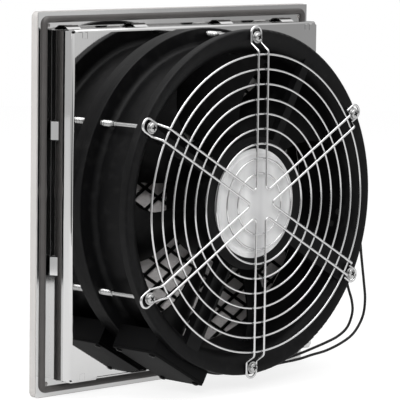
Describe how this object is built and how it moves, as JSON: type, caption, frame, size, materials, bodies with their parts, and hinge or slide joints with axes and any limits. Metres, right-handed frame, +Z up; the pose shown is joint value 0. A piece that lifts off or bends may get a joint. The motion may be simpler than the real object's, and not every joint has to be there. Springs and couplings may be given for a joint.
{
  "type": "cabinet filter fan",
  "caption": "Square cabinet filter fan: louvred grey front, polished sheet box that snaps into a cut-out, and a round black axial fan with a bright wire guard.",
  "frame": {"origin": "centre of the sealing plane: the rear face of the flange that lies on the cabinet wall", "axes": "+Y from the front panel through the wall into the cabinet, along the fan's axis; +Z up; -Y is the louvred outside"},
  "size_m": [0.3242, 0.1224, 0.32],
  "materials": {
    "grey_panel": "light warm grey, satin",
    "stainless_sheet": "polished stainless sheet",
    "zinc_steel": "bright zinc plated steel",
    "chrome_wire": "bright chrome plated wire",
    "filter_fibre": "grey non-woven fibre mat",
    "black_plastic": "black moulded plastic",
    "black_housing": "black semi-gloss paint",
    "black_blades": "black satin paint",
    "foam": "grey foamed seal",
    "hub_silver": "silver, matt",
    "cast_aluminium": "cast",
    "core_steel": "stacked sheets",
    "copper": "lacquered copper wire",
    "ivory_plastic": "ivory",
    "black_rubber": "black rubber",
    "lead_sheath": "black insulation, satin"
  },
  "bodies": {
    "frame": {"panel_frame": "grey_panel", "hinge_pins": "zinc_steel", "filter_mat": "filter_fibre", "filter_lattice": "black_plastic", "mounting_frame": "stainless_sheet", "rear_tray": "stainless_sheet", "foam_seal": "foam", "front_flange": "black_housing", "fan_housing": "black_housing", "rear_flange": "black_housing", "motor_spider": "black_housing", "fixing_bolts": "zinc_steel", "fixing_washers": "zinc_steel", "spacer_sleeves": "zinc_steel", "fixing_nuts": "zinc_steel", "guard_rings": "chrome_wire", "guard_spokes": "chrome_wire", "hub_disc": "hub_silver", "motor_flange": "cast_aluminium", "motor_screws": "zinc_steel", "stator_core": "core_steel", "stator_windings": "copper", "front_bearing": "zinc_steel", "rear_bearing": "zinc_steel", "terminal_box": "black_plastic", "terminal_lid": "black_plastic", "lid_screws": "zinc_steel", "terminal_block": "ivory_plastic", "run_capacitor": "ivory_plastic", "lead_grommets": "black_rubber", "outer_lead": "lead_sheath", "inner_lead": "lead_sheath"},
    "rotor": {"rotor_bell": "black_blades", "rotor_ring": "core_steel", "motor_shaft": "zinc_steel", "shaft_clip": "zinc_steel", "impeller": "black_blades"},
    "door": {"louvre_door": "grey_panel"}
  },
  "joints": [
    {"name": "fan_spin", "type": "hinge", "parent": "frame", "child": "rotor", "pos_m": [0, 0.06, 0], "axis": [0, 1, 0], "continuous": true},
    {"name": "door_swing", "type": "hinge", "parent": "frame", "child": "door", "pos_m": [0, -0.014, -0.125], "axis": [1, 0, 0], "range_deg": [0, 90]}
  ]
}
